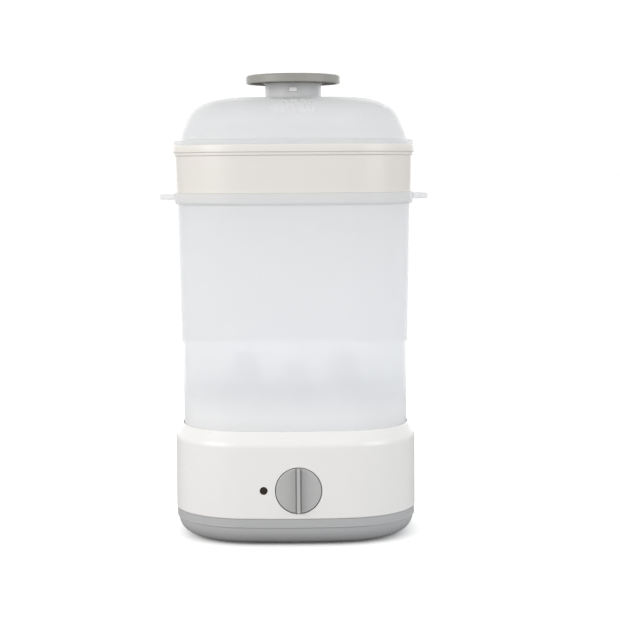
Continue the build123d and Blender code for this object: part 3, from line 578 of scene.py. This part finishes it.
def make_cover_bead():
    """The fine raised line where the grey cover's upright band meets its bowl."""
    foot = band_foot() - BEAD_DROP
    bm = bmesh.new()
    swept(bm, rounded([
        (2.2, foot - 0.4, 0), (0.35, foot, 0.3), (0.35, foot + 0.9, 0.3), (2.2, foot + 1.6, 0),
    ]))
    bead = mesh_piece("cover_bead", bm, "grey_shell")
    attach(bead, "base")


# ---------------------------------------------------------------- frosted basket, in millimetres

RIM_BAND = 8.8  # height of the basket's rim band
EAR_ROOT = (88.2, 26.0)
EAR_NECK = (93.6, 23.0)
EAR_TIP_X = 100.5
EAR_DROP = 1.2
EAR_T = 3.8
EAR_STEPS = 8  # on each side of the tip


def ear_outline(side):
    """One lifting ear seen from above: straight flanks from the wall, then a bowed tip."""
    outline = [(side * EAR_ROOT[0], -EAR_ROOT[1])]
    for turn in range(-EAR_STEPS, EAR_STEPS + 1):
        share = turn / EAR_STEPS
        x = EAR_TIP_X - (EAR_TIP_X - EAR_NECK[0]) * share**2
        outline.append((side * x, EAR_NECK[1] * share))
    outline.append((side * EAR_ROOT[0], EAR_ROOT[1]))
    return outline


def make_basket():
    """The frosted basket: a drawn-in wall that steps out to a rim band, a ledge for the rack and two ears."""
    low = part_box("bottle_basket")[0][2] / MM
    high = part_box("bottle_basket")[1][2] / MM
    step = high - RIM_BAND
    ledge = RACK_LOW / MM
    bm = bmesh.new()
    swept(bm, rounded([
        (8.3, low, 0.5), (6.5, low, 0.5), (3.9, step, 0.8), (2.1, step + 0.8, 0.4), (1.4, step + 1.7, 0.5),
        (1.4, high, 0.6), (3.2, high, 0.6), (3.2, step + 2.0, 0.4), (5.7, step + 0.6, 0.8),
        (8.1, ledge, 0.5), (12.0, ledge, 0.4), (12.0, ledge - 2.0, 0.4), (8.15, ledge - 3.5, 0.8),
    ]))
    basket = mesh_piece("basket_shell", bm, "frosted_clear")
    ear_top = high - EAR_DROP
    ears = [prism("ear", ear_outline(side), ear_top - EAR_T, ear_top) for side in (-1, 1)]
    cut(basket, ears, "UNION")
    bevel = basket.modifiers.new("soft_edges", "BEVEL")
    bevel.width = 0.5 * MM
    bevel.segments = 2
    bevel.limit_method = "ANGLE"
    bevel.angle_limit = math.radians(50)
    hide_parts("bottle_basket")
    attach(basket, "basket")


# ---------------------------------------------------------------- upper tray, in millimetres

TRAY_FLANGE = 5.2  # height of the flange
TRAY_FLOOR_T = 2.0
TRAY_FLOOR_INSET = 4.6
TRAY_HOLE_R = 3.0
TRAY_HOLE_PITCH = (16, 14)
TRAY_HOLE_REACH = (64, 42)  # from the middle to the grid's last hole


def tray_holes(low, high):
    """One solid with a peg for each of the floor's holes, in a grid."""
    joined = bmesh.new()
    ring = circle(TRAY_HOLE_R, 24)
    for x in range(-TRAY_HOLE_REACH[0], TRAY_HOLE_REACH[0] + 1, TRAY_HOLE_PITCH[0]):
        for y in range(-TRAY_HOLE_REACH[1], TRAY_HOLE_REACH[1] + 1, TRAY_HOLE_PITCH[1]):
            hole = prism("hole", [(x + dx, y + dy) for dx, dy in ring], low, high)
            joined.from_mesh(hole.data)
            bpy.data.objects.remove(hole)
    return helper("holes", joined)


def make_tray():
    """The cream tray: a skirt that drops into the basket, a wall, and a flange with a bead under it."""
    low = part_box("upper_tray")[0][2] / MM
    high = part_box("upper_tray")[1][2] / MM
    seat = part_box("bottle_basket")[1][2] / MM
    under = high - TRAY_FLANGE
    bm = bmesh.new()
    swept(bm, rounded([
        (5.6, low, 0.5), (3.6, low, 0.8), (3.6, seat, 0.2), (2.6, seat, 0.4), (1.9, under - 2.9, 0.2),
        (0.9, under - 2.5, 0.5), (0.9, under - 0.5, 0.2), (0.0, under - 0.3, 0.5), (0.0, high, 0.7),
        (3.6, high, 0.4), (3.6, under - 0.8, 0.8), (4.6, seat + 1.0, 0.8), (5.6, seat - 1.0, 0.8),
    ]))
    tray = mesh_piece("tray_shell", bm, "cream_white")
    outline = [(x / MM, y / MM) for x, y in plan_loop(TRAY_FLOOR_INSET * MM)]
    # the floor starts a hair above the skirt's foot, so that no two faces lie in one plane
    cut(tray, [prism("floor", outline, low + 0.002, low + TRAY_FLOOR_T)], "UNION")
    cut(tray, [tray_holes(low - 1, low + TRAY_FLOOR_T + 1)])
    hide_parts("upper_tray")
    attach(tray, "tray")


# ---------------------------------------------------------------- frosted lid, in millimetres

LID_WALL = 1.8
STEM_H = 10.8  # from the flat crown to the stem's top
STEM_R = 20.8
STEM_BORE_R = 18.6
SLOT_PITCH = 6.8
SLOT_LENGTH = 14.0
SLOT_WIDTH = 3.4
SLOT_Y = -53.6
WINDOW_W = 6.2
WINDOW_H = 3.6
WINDOW_DROP = 4.8  # from the stem's top to the window's middle
WINDOW_GAP = 0.2  # all round the snap tab's face
SNAP_DEPTH = 0.35  # of the middle of the tab's face behind the stem's surface


def slot_outline(x, y, length, width, steps=9):
    """A round-ended slot that runs front to back."""
    points = []
    for end, start in ((1, 0), (-1, math.pi)):
        middle = y + end * (length - width) / 2
        for step in range(steps + 1):
            angle = start + math.pi * step / steps
            points.append((x + width / 2 * math.cos(angle), middle + width / 2 * math.sin(angle)))
    return points


def make_lid():
    """The frosted lid: rim, dome and stem in one wall, with steam slots and the stem's snap window."""
    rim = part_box("upper_tray")[1][2] / MM
    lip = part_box("lid")[0][2] / MM
    stem_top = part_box("lid")[1][2] / MM
    dome = stem_top - STEM_H
    outside = curve_through([
        (6.0, rim + 3.8), (6.9, rim + 7.6), (9.0, dome - 21.9), (12.8, dome - 13.3),
        (18.9, dome - 6.9), (31.0, dome - 2.0), (45.0, dome),
    ])
    inside = curve_through([
        (45.0, dome - LID_WALL), (31.4, dome - 3.8), (20.0, dome - 8.4), (14.4, dome - 14.2),
        (10.8, dome - 22.3), (8.7, rim + 6.6), (7.9, rim + 2.8),
    ])
    # from the ceiling's edge down the inside, round the rim and up the outside to the flat crown
    bm = bmesh.new()
    swept(bm, rounded([
        *inside, (4.0 + LID_WALL, rim + 1.4, 0.8), (4.0 + LID_WALL, lip, 0.6), (4.0, lip, 0.6),
        (4.0, rim, 0.2), (1.0, rim, 0.4), (1.0, rim + 3.4, 0.9), (5.0, rim + 3.7, 0.3), *outside,
    ]), closed=False)
    lid = mesh_piece("lid_shell", bm, "frosted_clear")
    stem = bmesh.new()
    turned(stem, rounded([
        (STEM_BORE_R, dome - 1.0, 0), (STEM_R, dome - 1.0, 0), (STEM_R, stem_top, 0.5),
        (STEM_BORE_R, stem_top, 0.5),
    ]))
    cut(lid, [helper("stem", stem)], "UNION")
    cutters = []
    for number in range(-2, 3):
        outline = slot_outline(number * SLOT_PITCH, SLOT_Y, SLOT_LENGTH, SLOT_WIDTH)
        cutters.append(prism("slot", outline, rim, stem_top))
    side = WINDOW_W / 2
    front, back = -STEM_R - 3.2, -STEM_R + 3.8
    window_z = stem_top - WINDOW_DROP
    window = [(-side, front), (side, front), (side, back), (-side, back)]
    cutters.append(prism("window", window, window_z - WINDOW_H / 2, window_z + WINDOW_H / 2))
    cut(lid, cutters)
    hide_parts("lid")
    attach(lid, "lid")


def soft_block(name, size, centre, slot, edge):
    """A small block with rounded edges."""
    bm = bmesh.new()
    bmesh.ops.create_cube(bm, size=1.0)
    bmesh.ops.scale(bm, vec=[value * MM for value in size], verts=bm.verts)
    bmesh.ops.translate(bm, vec=[value * MM for value in centre], verts=bm.verts)
    bmesh.ops.bevel(
        bm, geom=bm.edges[:], offset=edge * MM, offset_type="OFFSET", segments=3, profile=0.5, affect="EDGES"
    )
    return mesh_piece(name, bm, slot)


def make_snap_face():
    """The pale face of the handle's snap tab, seen in the stem's window."""
    window_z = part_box("lid")[1][2] / MM - WINDOW_DROP
    size = (WINDOW_W - 2 * WINDOW_GAP, 0.5, WINDOW_H - 2 * WINDOW_GAP)
    face = soft_block("snap_tab_face", size, (0, SNAP_DEPTH - STEM_R, window_z), "white_shell", 0.2)
    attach(face, "lid")


MATERIALS = make_materials()
make_camera()
make_studio()
dress_cad_nodes()
make_cover_bead()
make_basket()
make_tray()
make_lid()
make_snap_face()
